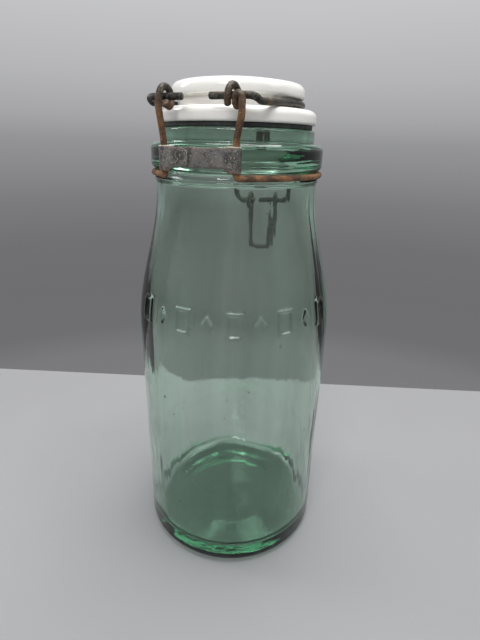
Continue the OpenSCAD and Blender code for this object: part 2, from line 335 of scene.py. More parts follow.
class Surface:
    """A material's nodes while they are being joined up."""

    def __init__(self, name: str) -> None:
        """Start a material with one Principled shader."""
        self.material = bpy.data.materials.new(name)
        self.material.use_nodes = True
        self.tree = self.material.node_tree
        self.tree.nodes.clear()
        self.out = self.tree.nodes.new("ShaderNodeOutputMaterial")
        self.shader = self.tree.nodes.new("ShaderNodeBsdfPrincipled")
        self.join(self.shader.outputs["BSDF"], self.out.inputs["Surface"])
        self.place = self.tree.nodes.new("ShaderNodeTexCoord").outputs["Object"]

    def join(self, source: bpy.types.NodeSocket, target: bpy.types.NodeSocket) -> None:
        """Link one socket to another."""
        self.tree.links.new(source, target)

    def put(self, target: bpy.types.NodeSocket, value: object) -> None:
        """Link a socket, or set it when the value is a number or a colour."""
        if isinstance(value, bpy.types.NodeSocket):
            self.join(value, target)
        elif isinstance(value, tuple) and len(value) == 3 and target.type == "RGBA":
            target.default_value = (*value, 1.0)
        else:
            target.default_value = value

    def set(self, **values: object) -> None:
        """Set the shader's inputs; underscores in a name stand for spaces."""
        for key, value in values.items():
            self.put(self.shader.inputs[key.replace("_", " ")], value)

    def noise(
        self, scale: float, detail: float = 4.0, rough: float = 0.55, stretch: Optional[Colour] = None
    ) -> bpy.types.NodeSocket:
        """Cloudy noise in the object's own space.

        Args:
            scale: Patches per metre.
            detail: Octaves.
            rough: Strength of the fine octaves.
            stretch: Scale along X, Y and Z, where it isn't even.

        Returns:
            The noise value.
        """
        node = self.tree.nodes.new("ShaderNodeTexNoise")
        node.inputs["Scale"].default_value = scale
        node.inputs["Detail"].default_value = detail
        node.inputs["Roughness"].default_value = rough
        self.join(self.stretched(stretch), node.inputs["Vector"])
        return node.outputs["Fac"]

    def stretched(self, stretch: Optional[Colour]) -> bpy.types.NodeSocket:
        """The object's coordinates, scaled by axis where asked."""
        if stretch is None:
            return self.place
        node = self.tree.nodes.new("ShaderNodeMapping")
        node.inputs["Scale"].default_value = stretch
        self.join(self.place, node.inputs["Vector"])
        return node.outputs["Vector"]

    def cells(self, scale: float, output: str = "Color") -> bpy.types.NodeSocket:
        """Voronoi cells in the object's own space."""
        node = self.tree.nodes.new("ShaderNodeTexVoronoi")
        node.inputs["Scale"].default_value = scale
        self.join(self.place, node.inputs["Vector"])
        return node.outputs[output]

    def height(self) -> bpy.types.NodeSocket:
        """Height above the base."""
        node = self.tree.nodes.new("ShaderNodeSeparateXYZ")
        self.join(self.place, node.inputs[0])
        return node.outputs["Z"]

    def maths(self, kind: str, a: object, b: object = 0.0, clamp: bool = False) -> bpy.types.NodeSocket:
        """One sum on two values."""
        node = self.tree.nodes.new("ShaderNodeMath")
        node.operation = kind
        node.use_clamp = clamp
        self.put(node.inputs[0], a)
        self.put(node.inputs[1], b)
        return node.outputs[0]

    def span(
        self, value: object, low: float, high: float, to_low: float = 0.0, to_high: float = 1.0
    ) -> bpy.types.NodeSocket:
        """Map a range of values smoothly to another range."""
        node = self.tree.nodes.new("ShaderNodeMapRange")
        node.interpolation_type = "SMOOTHSTEP"
        self.put(node.inputs["Value"], value)
        for key, number in (("From Min", low), ("From Max", high), ("To Min", to_low), ("To Max", to_high)):
            node.inputs[key].default_value = number
        return node.outputs["Result"]

    def blend(self, share: object, a: object, b: object) -> bpy.types.NodeSocket:
        """Mix two colours by a share of the second."""
        node = self.tree.nodes.new("ShaderNodeMix")
        node.data_type = "RGBA"
        self.put(node.inputs["Factor"], share)
        self.put([s for s in node.inputs if s.name == "A" and s.type == "RGBA"][0], a)
        self.put([s for s in node.inputs if s.name == "B" and s.type == "RGBA"][0], b)
        return [s for s in node.outputs if s.type == "RGBA"][0]

    def relief(
        self, depth: object, distance: float, strength: float = 1.0, base: Optional[bpy.types.NodeSocket] = None
    ) -> bpy.types.NodeSocket:
        """Bump from a height.

        Args:
            depth: The height, 0 to 1.
            distance: Metres that a height of 1 stands for.
            strength: Share of the bump that shows.
            base: A bump that this one adds to.

        Returns:
            The bent normal.
        """
        node = self.tree.nodes.new("ShaderNodeBump")
        node.inputs["Strength"].default_value = strength
        node.inputs["Distance"].default_value = distance
        self.put(node.inputs["Height"], depth)
        if base is not None:
            self.join(base, node.inputs["Normal"])
        return node.outputs["Normal"]


@dataclass(frozen=True)
class GreenGlass:
    """Old blue-green bottle glass: clear, tinted by depth, faintly uneven and dusty, with painted shade greying it up
    the shoulder and round the rim.
    """

    tint: Colour = (0.10, 0.86, 0.48)
    clear: Colour = (0.985, 1.0, 0.99)
    shade_and_dust_grey: Colour = (0.715, 0.73, 0.70)
    density: float = 40.0
    index: float = 1.5

    def material(self) -> bpy.types.Material:
        """Build the glass."""
        s = Surface("green_glass")
        waves = s.noise(55.0, 2.0, 0.4, (1.0, 1.0, 0.35))
        skin = s.noise(700.0, 3.0, 0.5)
        haze = s.noise(38.0, 5.0, 0.6)
        z = s.height()
        # Painted shade: a grey darkening of the glass, none at the base, more on the shoulder, most round the rim under
        # the lid
        painted_shade_and_dust = s.maths("MULTIPLY", s.span(z, 0.010, 0.024), s.span(z, 0.196, 0.207, 1.0, 0.35))
        painted_shade_and_dust = s.maths("ADD", painted_shade_and_dust, s.maths("MULTIPLY", s.span(z, 0.150, 0.185), s.span(z, 0.196, 0.207, 0.5, 0.0)))
        painted_shade_and_dust = s.maths("ADD", painted_shade_and_dust, s.span(z, 0.2105, 0.2135, 0.0, 1.9))
        streaks = s.noise(42.0, 4.0, 0.6, (1.0, 1.0, 0.05))
        painted_shade_and_dust = s.maths("MULTIPLY", painted_shade_and_dust, s.span(streaks, 0.3, 0.7, 0.22, 0.72), clamp=True)
        # Dark dust specks, the glass's own, joined to the painted shade
        dirt = s.span(s.noise(420.0, 2.0, 0.4), 0.755, 0.775)
        painted_shade_and_dust = s.maths("MAXIMUM", painted_shade_and_dust, dirt)
        s.set(Base_Color=s.blend(painted_shade_and_dust, self.clear, self.shade_and_dust_grey), Transmission_Weight=1.0, IOR=self.index)
        s.set(Roughness=s.span(haze, 0.45, 0.75, 0.0, 0.07))
        s.set(Normal=s.relief(skin, 0.00002, 0.5, s.relief(streaks, 0.0012, 0.25, s.relief(waves, 0.0012, 0.35))))
        depth = s.tree.nodes.new("ShaderNodeVolumeAbsorption")
        depth.inputs["Color"].default_value = (*self.tint, 1.0)
        depth.inputs["Density"].default_value = self.density
        s.join(depth.outputs["Volume"], s.out.inputs["Volume"])
        return s.material


@dataclass(frozen=True)
class OpalGlass:
    """White opal glass, glossy, with painted shade: grey darkening low in the wire groove."""

    white: Colour = (0.86, 0.85, 0.81)
    groove_shade_grey: Colour = (0.52, 0.49, 0.44)
    groove_z: float = 0.2402

    def material(self) -> bpy.types.Material:
        """Build the glass."""
        s = Surface("opal_glass")
        cloud = s.noise(60.0, 4.0, 0.6)
        speck = s.noise(900.0, 5.0, 0.7)
        # Painted shade: grey darkening close to the wire groove, broken up by cloud noise; the same share also roughens
        # the surface there
        away = s.maths("ABSOLUTE", s.maths("SUBTRACT", s.height(), self.groove_z))
        near = s.span(away, 0.0008, 0.0042, 1.0, 0.0)
        groove_shade_share = s.maths("MULTIPLY", near, s.span(cloud, 0.35, 0.65, 0.0, 0.40), clamp=True)
        base = s.blend(s.span(cloud, 0.4, 0.7, 0.0, 0.35), self.white, (0.80, 0.79, 0.73))
        base = s.blend(groove_shade_share, base, self.groove_shade_grey)
        base = s.blend(s.span(speck, 0.70, 0.78), base, (0.52, 0.49, 0.44))
        s.set(Base_Color=base, IOR=1.5, Subsurface_Weight=0.25, Subsurface_Scale=0.004)
        s.shader.inputs["Subsurface Radius"].default_value = (1.0, 0.95, 0.85)
        s.set(Roughness=s.span(s.maths("ADD", groove_shade_share, s.maths("MULTIPLY", cloud, 0.3)), 0.0, 1.0, 0.10, 0.5))
        s.set(Coat_Weight=0.4, Coat_Roughness=0.08)
        s.set(Normal=s.relief(speck, 0.00003, 0.6, s.relief(s.noise(90.0, 2.0), 0.0008, 0.25)))
        return s.material


@dataclass(frozen=True)
class Wire:
    """Steel wire, either rusted brown or only tarnished dark."""

    state: Metal
    eye_z: float = 0.238

    def material(self) -> bpy.types.Material:
        """Build the metal."""
        s = Surface("wire_" + self.state.value)
        broad = s.noise(150.0, 4.0, 0.6)
        fine = s.noise(900.0, 6.0, 0.7)
        pits = s.noise(2600.0, 4.0, 0.65)
        steel = s.blend(s.span(fine, 0.4, 0.65), (0.026, 0.025, 0.022), (0.115, 0.108, 0.094))
        rust = s.blend(s.span(broad, 0.38, 0.62), (0.080, 0.042, 0.024), (0.27, 0.130, 0.055))
        rust = s.blend(s.span(fine, 0.54, 0.70), rust, (0.46, 0.29, 0.15))
        rust = s.blend(s.span(pits, 0.52, 0.66), rust, (0.030, 0.020, 0.015))
        if self.state is Metal.RUSTED:
            ragged = s.maths("ADD", s.height(), s.maths("MULTIPLY", broad, 0.012))
            high = s.span(ragged, self.eye_z + 0.001, self.eye_z + 0.010)
            low = s.maths("SUBTRACT", 1.0, s.maths("MULTIPLY", high, 0.86))
            share = s.maths("MULTIPLY", low, s.span(fine, 0.2, 0.42, 0.55, 1.0), clamp=True)
        else:
            share = s.maths("MULTIPLY", s.span(broad, 0.52, 0.72), s.span(fine, 0.35, 0.6, 0.2, 0.9), clamp=True)
        s.set(Base_Color=s.blend(share, steel, rust))
        s.set(Metallic=s.span(share, 0.1, 0.8, 0.75, 0.0), Roughness=s.span(share, 0.0, 0.8, 0.42, 0.86))
        s.set(Normal=s.relief(pits, 0.00012, 0.8, s.relief(fine, 0.0003, 0.8)))
        return s.material


@dataclass(frozen=True)
class ZincSheet:
    """Zinc-coated sheet gone grey and blotchy, rust-bitten along its edges, with a painted highlight along its top
    edge.
    """

    low_z: float
    high_z: float

    def material(self) -> bpy.types.Material:
        """Build the metal."""
        s = Surface("zinc_sheet")
        cloud = s.noise(220.0, 6.0, 0.7)
        fine = s.noise(1500.0, 6.0, 0.72)
        spangle = s.cells(620.0)
        zinc = s.blend(s.span(cloud, 0.36, 0.64), (0.055, 0.051, 0.048), (0.20, 0.188, 0.175))
        zinc = s.blend(0.16, zinc, s.blend(0.9, spangle, (0.17, 0.16, 0.15)))
        zinc = s.blend(s.span(fine, 0.55, 0.66), zinc, (0.50, 0.47, 0.42))
        zinc = s.blend(s.span(fine, 0.45, 0.34), zinc, (0.025, 0.023, 0.022))
        z = s.height()
        top = s.span(z, self.high_z - 0.0016, self.high_z)
        low = s.span(z, self.low_z + 0.0022, self.low_z)
        edge = s.maths("MULTIPLY", s.maths("MAXIMUM", top, low), s.span(cloud, 0.35, 0.6, 0.1, 0.9), clamp=True)
        spots = s.maths("MULTIPLY", s.span(s.noise(420.0, 5.0, 0.7), 0.60, 0.68), 0.8)
        rust = s.maths("MAXIMUM", edge, spots)
        # Painted highlight: a pale band just under the top edge, broken up by fine noise
        top_edge_band = s.span(z, self.high_z - 0.0009, self.high_z - 0.0003)
        painted_top_highlight = s.maths("MULTIPLY", top_edge_band, s.span(fine, 0.35, 0.55, 0.4, 1.0), clamp=True)
        s.set(Base_Color=s.blend(painted_top_highlight, s.blend(rust, zinc, (0.17, 0.105, 0.06)), (0.60, 0.54, 0.44)))
        s.set(Metallic=s.span(rust, 0.0, 0.7, 0.62, 0.0))
        s.set(Roughness=s.span(s.maths("ADD", cloud, rust), 0.3, 1.2, 0.40, 0.82))
        s.set(Normal=s.relief(fine, 0.00014, 0.8, s.relief(cloud, 0.0006, 0.7)))
        return s.material


@dataclass(frozen=True)
class ShadeDarkRubber:
    """Hard, very dark rubber with a dusty bloom; its darkness is painted shade, standing in for the shadow in the gap
    under the lid's edge.
    """

    shade_dark: Colour = (0.012, 0.016, 0.013)

    def material(self) -> bpy.types.Material:
        """Build the rubber."""
        s = Surface("shade_dark_rubber")
        dust = s.noise(320.0, 6.0, 0.7)
        grain = s.noise(2400.0, 4.0, 0.6)
        # Very dark base colour: painted shade for the gap under the lid; the dusty bloom is the rubber's own
        s.set(Base_Color=s.blend(s.span(dust, 0.5, 0.75, 0.0, 0.55), self.shade_dark, (0.10, 0.11, 0.095)))
        s.set(Roughness=s.span(dust, 0.3, 0.7, 0.45, 0.8), Normal=s.relief(grain, 0.00008, 0.7))
        return s.material


@dataclass(frozen=True)
class PaleSheet:
    """Plain pale paper."""

    name: str = "pale_paper"
    grey: Colour = (0.30, 0.30, 0.306)
    gloss: float = 0.75

    def material(self) -> bpy.types.Material:
        """Build the paper."""
        s = Surface(self.name)
        cloud = s.noise(6.0, 3.0, 0.5)
        shade = (self.grey[0] * 0.9, self.grey[1] * 0.9, self.grey[2] * 0.91)
        s.set(Base_Color=s.blend(s.span(cloud, 0.3, 0.7, 0.0, 0.5), self.grey, shade))
        s.set(Roughness=self.gloss, Normal=s.relief(s.noise(1200.0, 2.0), 0.00003, 0.3))
        return s.material


def dress(piece: bpy.types.Object, material: bpy.types.Material) -> None:
    """Give a piece its one material."""
    piece.data.materials.clear()
    piece.data.materials.append(material)


# ---------------------------------------------------------------- the canister's sizes


@dataclass
class Plan:
    """Sizes and places shared by the sub-assemblies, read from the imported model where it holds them."""

    joints: Sequence[dict]
    wire_d: float = 2.8 * MM
    latch_d: float = 2.8 * MM
    bead_r: float = 41.4 * MM
    neck_r: float = 39.5 * MM
    hinge: Vector = field(init=False)
    pivot: Vector = field(init=False)
    pin: Vector = field(init=False)

    def __post_init__(self) -> None:
        """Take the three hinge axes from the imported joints."""
        self.hinge, self.pivot, self.pin = (
            Vector(next(j for j in self.joints if j["name"] == name)["pos_m"])
            for name in ("lid_hinge", "latch_arm_hinge", "bail_hinge")
        )


# ---------------------------------------------------------------- glass jar


@dataclass
class GlassJar:
    """The pressed jar: uneven walls, a raised plain motif, bubbles and a thick base."""

    plan: Plan
    height: float = 229.5 * MM
    body_r: float = 52.0 * MM
    throat_r: float = 35.9 * MM
    mouth_r: float = 30.6 * MM
    rim_r: float = 36.9 * MM
    groove_r: float = 38.5 * MM
    wall: float = 3.2 * MM
    base: float = 8.0 * MM
    heel: float = 6.0 * MM
    floor_r: float = 8.0 * MM
    push_up: float = 3.0 * MM
    shoulder_z: float = 131.8 * MM
    shoulder: float = 75.0 * MM
    bead_z: float = 211.9 * MM
    bead_top: float = 223.7 * MM
    motif_z: float = 148.0 * MM
    motif_half: float = 6.2 * MM
    motif_pitch: float = 14.0
    motif_towards: float = 112.0
    motif_relief: float = 0.95 * MM
    thick_spots: tuple[tuple[float, float], ...] = ((36.0, 132 * MM), (188.0, 146 * MM))
    thick_by: float = 1.3 * MM
    columns: int = 640
    outside: int = 0

    def shoulder_r(self, z: float, low: float, high: float) -> float:
        """Radius on the shoulder, from low at its foot to high at the neck."""
        t = min(1.0, max(0.0, (z - self.shoulder_z) / self.shoulder))
        return low + (high - low) * (1 - math.cos(math.pi * t)) / 2

    def profile(self) -> list[tuple[float, float]]:
        """The jar's outline from the middle of the base, out, up, over the rim and back down inside.

        Returns:
            Points as (distance from axis, height).
        """
        foot = self.body_r - self.heel
        outer: list[tuple[float, float]] = [(0.0, self.push_up)]
        outer += [(foot * 0.55 * t, self.push_up * (1 - 0.2 * t * t)) for t in (0.3, 0.6, 1.0)]
        outer += [(foot - 5 * MM, 0.0), (foot, 0.0)]
        outer += arc(foot, self.heel, self.heel, -75, 0, 12)
        steps = 60
        heights = [self.shoulder_z + self.shoulder * i / steps for i in range(steps + 1)]
        # Finer rows where the motif stands
        plain = [z for z in heights if not 140.5 * MM < z < 155.5 * MM]
        heights = sorted(plain + [(140.7 + 0.42 * k) * MM for k in range(36)])
        outer += [(self.shoulder_r(z, self.body_r, self.plan.neck_r), z) for z in heights]
        neck = self.shoulder_z + self.shoulder
        groove = self.bead_z - 3.5 * MM
        outer += arc(self.plan.neck_r - 0.1 * MM, neck + 0.8 * MM, 0.8 * MM, -60, 60, 6)
        outer += [(self.groove_r, groove + 0.4 * MM), (self.groove_r, self.bead_z)]
        outer += arc(self.plan.bead_r - 2.4 * MM, self.bead_z + 2.4 * MM, 2.4 * MM, -80, 0, 8)
        outer += arc(self.plan.bead_r - 3 * MM, self.bead_top - 3 * MM, 3 * MM, 0, 78, 8)
        outer += arc(self.rim_r + 0.9 * MM, self.bead_top + 0.5 * MM, 0.9 * MM, 260, 180, 5)
        outer += arc(self.rim_r - 1.2 * MM, self.height - 1.2 * MM, 1.2 * MM, 0, 90, 7)
        inner = arc(self.mouth_r + 1 * MM, self.height - 1 * MM, 1 * MM, 90, 180, 6)
        inner += [(self.mouth_r, self.bead_top - 1 * MM)]
        for i in range(7):
            t = smooth_step(0, 6, i)
            z = self.bead_top - 1 * MM - (self.bead_top - 1 * MM - self.bead_z) * i / 6
            inner.append((self.mouth_r + (self.throat_r - self.mouth_r) * t, z))
        for i in range(steps, -1, -1):
            z = self.shoulder_z + self.shoulder * i / steps
            inner.append((self.shoulder_r(z, self.body_r - self.wall, self.throat_r), z))
        well = self.body_r - self.wall - self.floor_r
        inner += arc(well, self.base + self.floor_r, self.floor_r, 0, -90, 12)
        inner += [(well * t, self.base + 0.6 * MM * (1 - t * t)) for t in (0.8, 0.6, 0.4, 0.25, 0.12, 0.06, 0.03)]
        inner.append((0.0, self.base + 1.0 * MM))
        outer, inner = dense(outer, 1.9 * MM), dense(inner, 2.4 * MM)
        self.outside = len(outer)
        return outer + inner

    def motif(self, angle: float, z: float) -> float:
        """Height of the raised ornament at a place on the shoulder, 0 to 1.

        Args:
            angle: Direction round the jar, in radians from +X.
            z: Height above the base.

        Returns:
            The share of the full relief.
        """
        middle, half_h, pitch = self.motif_z, self.motif_half, math.radians(self.motif_pitch)
        turn = (angle - math.radians(self.motif_towards) + math.pi) % (2 * math.pi) - math.pi
        if abs(turn) > 4.5 * pitch or abs(z - middle) > half_h + 1.5 * MM:
            return 0.0
        cell = round(turn / pitch)
        across = (turn - cell * pitch) * 49.5 * MM
        up = z - middle
        if cell % 2 == 0:
            inside = max(abs(across) - 3.9 * MM, abs(up) - half_h)
            return smooth_step(0.2 * MM, -0.15 * MM, inside) * smooth_step(-1.7 * MM, -1.35 * MM, inside)
        reach = abs(across) / (2.6 * MM) + abs(up) / (4.4 * MM)
        return smooth_step(1.08, 0.9, reach)

    def shift(self, angle: float, r: float, z: float, i: int) -> tuple[float, float]:
        """Make the pressed shape uneven, as old glass is, and raise the motif.

        Args:
            angle: Direction round the jar, in radians.
            r: Planned distance from the axis.
            z: Planned height.
            i: The point's place in the profile.

        Returns:
            The distance and the height that the point really has.
        """
        spot = Vector((math.cos(angle) * r, math.sin(angle) * r, z))
        body = smooth_step(6 * MM, 24 * MM, z) * smooth_step(206 * MM, 190 * MM, z)
        if i >= self.outside:
            slow = noise.noise(spot * 32.0 + Vector((7.0, 3.0, 1.0)))
            along = Vector((math.cos(angle) * 2.6, math.sin(angle) * 2.6, z * 9.0))
            streak = noise.noise(along + Vector((20.0, 0.0, 5.0)))
            floor = smooth_step(16 * MM, 8 * MM, z) * smooth_step(46 * MM, 30 * MM, r)
            sag = floor * 0.5 * MM * noise.noise(spot * 55.0)
            lump = 0.0
            for at, level in self.thick_spots:
                off = abs((angle - math.radians(at) + math.pi) % (2 * math.pi) - math.pi)
                lump += self.thick_by * smooth_step(0.42, 0.0, off) * smooth_step(38 * MM, 0.0, abs(z - level))
            return r + body * (0.55 * MM * slow + 0.75 * MM * streak - lump), z + sag
        dent = 0.16 * MM * (noise.noise(spot * 40.0) - 0.6) * body
        seam = 0.0
        for at in (0.0, math.pi):
            off = abs((angle - at + math.pi) % (2 * math.pi) - math.pi) * r
            seam += 0.14 * MM * smooth_step(0.9 * MM, 0.3 * MM, off) * smooth_step(2 * MM, 12 * MM, z)
        relief = self.motif_relief * self.motif(angle, z)
        top = self.body_r - 0.05 * MM
        return min(top, r + dent + seam * body + relief), z

    def bubbles(self, count: int = 150) -> tuple[list[Vector], list[list[int]]]:
        """Small seeds of air drawn out in the wall.

        Args:
            count: How many.

        Returns:
            Points and faces of closed voids that lie inside the glass.
        """
        draw = random.Random(7)
        verts: list[Vector] = []
        faces: list[list[int]] = []
        for _ in range(count):
            z = draw.uniform(20 * MM, 196 * MM)
            angle = draw.uniform(0, 2 * math.pi)
            size = draw.choice((0.2, 0.26, 0.34, 0.42, 0.5)) * MM
            mid = self.shoulder_r(z, self.body_r, self.plan.neck_r) - 1.05 * MM
            centre = Vector((mid * math.cos(angle), mid * math.sin(angle), z))
            work = bmesh.new()
            bmesh.ops.create_icosphere(work, subdivisions=2, radius=size)
            start = len(verts)
            long = draw.uniform(1.0, 1.9)
            verts += [centre + Vector((v.co.x, v.co.y, v.co.z * long)) for v in work.verts]
            faces += [[start + v.index for v in reversed(f.verts)] for f in work.faces]
            work.free()
        return verts, faces

    def build(self, finish: GreenGlass) -> bpy.types.Object:
        """Make the jar as one closed glass solid with its bubbles.

        Args:
            finish: The glass.

        Returns:
            The jar.
        """
        verts, faces = revolve(self.profile(), self.columns, self.shift)
        jar = new_piece("jar_glass", verts, faces)
        air_verts, air_faces = self.bubbles()
        air = bpy.data.meshes.new("jar_air")
        air.from_pydata([tuple(v) for v in air_verts], [], air_faces)
        work = bmesh.new()
        work.from_mesh(jar.data)
        work.from_mesh(air)
        work.to_mesh(jar.data)
        work.free()
        jar.data.shade_smooth()
        bpy.data.meshes.remove(air)
        dress(jar, finish.material())
        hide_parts("glass_jar")
        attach(jar, "jar")
        return jar


# ---------------------------------------------------------------- lid and sealing ring


@dataclass
class Lid:
    """The two-step opal lid with its plug, its wire groove and a beaded top."""

    plan: Plan
    seat: float = 231.5 * MM
    low_r: float = 37.1 * MM
    low_h: float = 6.5 * MM
    groove_r: float = 28.2 * MM
    top_z: float = 242.1 * MM
    top_r: float = 31.1 * MM
    top_h: float = 6.6 * MM
    dome: float = 1.0 * MM
    plug_r: float = 27.7 * MM
    plug_h: float = 3.5 * MM

    def profile(self) -> list[tuple[float, float]]:
        """The lid's outline from the middle of the plug to the middle of the dome."""
        groove = self.seat + self.low_h
        edge = self.top_z + self.top_h
        out = [(0.0, self.seat - self.plug_h + 0.6 * MM), (self.plug_r - 6 * MM, self.seat - self.plug_h + 0.4 * MM)]
        out += arc(self.plug_r - 1.2 * MM, self.seat - self.plug_h + 1.2 * MM, 1.2 * MM, -90, 0, 6)
        out += arc(self.plug_r + 0.6 * MM, self.seat - 0.6 * MM, 0.6 * MM, 180, 90, 4)
        out += arc(self.low_r - 1.1 * MM, self.seat + 1.1 * MM, 1.1 * MM, -90, 0, 6)
        out += arc(self.low_r - 2.8 * MM, groove - 3.1 * MM, 2.8 * MM, 0, 74, 10)
        out += arc(self.groove_r + 0.8 * MM, groove + 0.8 * MM, 0.8 * MM, 270, 180, 5)
        out += arc(self.groove_r + 0.8 * MM, self.top_z - 0.8 * MM, 0.8 * MM, 180, 90, 5)
        out += arc(self.top_r - 1.4 * MM, self.top_z + 1.4 * MM, 1.4 * MM, -90, 0, 6)
        out += arc(self.top_r - 4 * MM, edge - 4 * MM, 4 * MM, 0, 82, 12)
        reach = self.top_r - 4 * MM
        out += [(reach * t, edge + self.dome * (1 - t * t)) for t in (0.95, 0.85, 0.7, 0.5, 0.3, 0.12, 0.05)]
        out.append((0.0, edge + self.dome))
        return dense(out, 0.9 * MM)

    def shift(self, angle: float, r: float, z: float, _: int) -> tuple[float, float]:
        """Add the pressed top's low ring and studs, and the glass's slow unevenness."""
        spot = Vector((math.cos(angle) * r, math.sin(angle) * r, z))
        out = r - 0.10 * MM * (1 + noise.noise(spot * 60.0)) * smooth_step(20 * MM, 27 * MM, r)
        lift = -0.25 * MM * (1 + noise.noise(spot * 45.0)) if z > self.top_z + self.top_h - 0.6 * MM else 0.0
        if z > self.top_z + self.top_h - 1.2 * MM and r < 27 * MM:
            ring = smooth_step(1.3 * MM, 0.5 * MM, abs(r - 17.5 * MM))
            step = 2 * math.pi / 28
            off = (angle % step) - step / 2
            stud = smooth_step(1.35 * MM, 0.7 * MM, math.hypot(off * r, r - 23 * MM))
            lift += 0.45 * MM * max(ring, stud) - 0.45 * MM * smooth_step(27 * MM, 24 * MM, r)
        return out, z + lift

    def build(self, finish: OpalGlass) -> bpy.types.Object:
        """Make the lid and give it its glass."""
        verts, faces = revolve(self.profile(), 336, self.shift)
        lid = new_piece("lid_opal", verts, faces)
        dress(lid, finish.material())
        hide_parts("lid")
        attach(lid, "lid")
        return lid


@dataclass
class SealingRing:
    """The flat rubber ring, squeezed a little uneven between rim and lid."""

    inner: float = 31.0 * MM
    width: float = 4.6 * MM
    low: float = 229.5 * MM
    thick: float = 2.0 * MM

    def shift(self, angle: float, r: float, z: float, _: int) -> tuple[float, float]:
        """Let the ring's edges wander as old rubber does."""
        wander = 0.22 * MM * noise.noise(Vector((math.cos(angle) * 3, math.sin(angle) * 3, z * 200)))
        return r + wander - 0.1 * MM, z

    def build(self, finish: ShadeDarkRubber) -> bpy.types.Object:
        """Make the ring and give it its rubber."""
        lip = 0.45 * MM
        outer = self.inner + self.width
        high = self.low + self.thick
        profile = arc(self.inner + lip, self.low + lip, lip, 180, 270, 4)
        profile += arc(outer - lip, self.low + lip, lip, 270, 360, 4)
        profile += arc(outer - lip, high - lip, lip, 0, 90, 4)
        profile += arc(self.inner + lip, high - lip, lip, 90, 180, 4)
        verts, faces = revolve(profile, 240, self.shift)
        ring = new_piece("seal_ring", verts, faces)
        dress(ring, finish.material())
        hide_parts("sealing_ring")
        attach(ring, "lid")
        return ring


# ---------------------------------------------------------------- wires


def sway(at: Vector) -> Vector:
    """A steady wander at a place: three plain noises, each read from its own part of the field."""
    east, north = Vector((9.3, -1.5, -8.0)), Vector((-31.1, 17.2, 5.3))
    return Vector((noise.noise(at), noise.noise(at + east), noise.noise(at + north)))


def wire_piece(
    name: str, path: Sequence[Vector], thick: float, seed: float, wander: float = 0.10 * MM
) -> bpy.types.Object:
    """Draw a wire along a path with the small bends and swellings of a hand-bent one.

    Args:
        name: The piece's name.
        path: The planned route.
        thick: Wire diameter.
        seed: Where in the noise this wire's wander starts.
        wander: How far it strays.

    Returns:
        The wire.
    """
    route = even(path, 0.7 * MM)
    start = Vector((seed, seed * 0.37, -seed))
    loose = [p + wander * sway(p * 70.0 + start) for p in route]
    verts, faces = sweep(loose, lambda s: thick / 2 * (0.985 + 0.03 * noise.noise(Vector((s * 260.0, seed, 0.0)))))
    return new_piece(name, verts, faces)


@dataclass
class LidWire:
    """One wire: a ring in the lid's groove, the nose at the front and the two hinge pins."""

    plan: Plan
    ring_r: float = 30.0 * MM
    nose_w: float = 5.2 * MM
    nose_y: float = -43.4 * MM
    hook_r: float = 3.4 * MM
    hook_z: float = 223.25 * MM
    hook_rise: float = 3.5 * MM
    corner_x: float = 23.0 * MM
    dip: float = 1.7 * MM
    left_tip: float = 7.55 * MM
    right_tip: float = 4.75 * MM

    def half(self, tip: float) -> list[Vector]:
        """The wire from the middle of the nose round to one pin's end.

        Args:
            tip: Where that pin ends, from the middle.

        Returns:
            The route.
        """
        y, z = self.plan.hinge.y, self.plan.hinge.z
        x = self.nose_w / 2
        away = self.nose_y - 2 * self.hook_r
        top = self.hook_z + self.hook_rise + x
        reach = math.hypot(self.corner_x, y)
        touch = math.degrees(math.atan2(y, self.corner_x) - math.acos(self.ring_r / reach))
        inward = math.asin(x / self.ring_r)
        path = bent(
            [
                Vector((0, away, top)), Vector((x, away, top)), Vector((x, away, self.hook_z - self.hook_r)),
                Vector((x, self.nose_y, self.hook_z - self.hook_r)), Vector((x, self.nose_y, z)),
                Vector((x, -self.ring_r * math.cos(inward), z)), level_arc(self.ring_r, z, -72, -72, 1)[0],
            ],
            [0, x - 0.05 * MM, self.hook_r - 0.05 * MM, self.hook_r - 0.05 * MM, 3 * MM, 3 * MM, 0],
        )
        path += level_arc(self.ring_r, z, -64, touch - 8, 40)
        bow = Vector((self.corner_x + 0.9 * MM, y - 4.5 * MM, z - self.dip))
        start = level_arc(self.ring_r, z, touch, touch, 1)[0]
        return path + bent([start, bow, Vector((self.corner_x, y, z)), Vector((tip, y, z))], [0, 5 * MM, 3 * MM, 0])

    def build(self, finish: Wire) -> bpy.types.Object:
        """Make the wire and give it its metal."""
        path = other_side(self.half(self.right_tip)) + self.half(self.left_tip)[1:]
        wire = wire_piece("lid_bail_wire", path, self.plan.wire_d, 3.0, 0.07 * MM)
        dress(wire, finish.material())
        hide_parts("lid_wire")
        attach(wire, "lid")
        return wire


